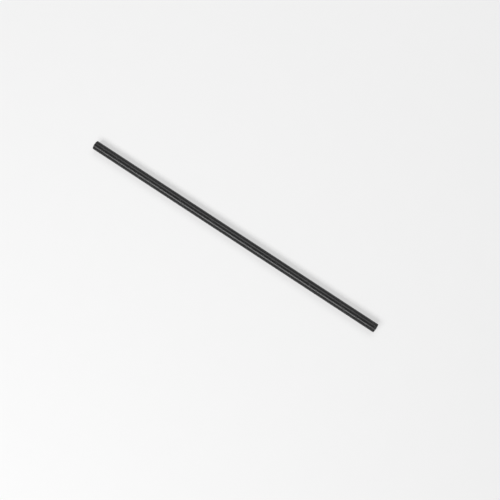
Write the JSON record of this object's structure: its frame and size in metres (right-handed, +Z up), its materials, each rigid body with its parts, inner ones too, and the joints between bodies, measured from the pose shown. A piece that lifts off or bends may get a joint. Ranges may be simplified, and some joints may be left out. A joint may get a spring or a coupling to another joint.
{
  "type": "paper drinking straw",
  "caption": "Slim black paper drinking straw: a straight open tube wound in a spiral, with a fine helical seam and square-cut ends.",
  "frame": {"origin": "on the resting surface, under the middle of the straw's length", "axes": "+X along the straw, +Z up; the straw's axis lies one outside radius above the resting surface"},
  "size_m": [0.21, 0.006, 0.006],
  "materials": {
    "dyed_paper": "satin black dyed paper"
  },
  "bodies": {
    "root": {"paper_tube": "dyed_paper"}
  },
  "joints": []
}
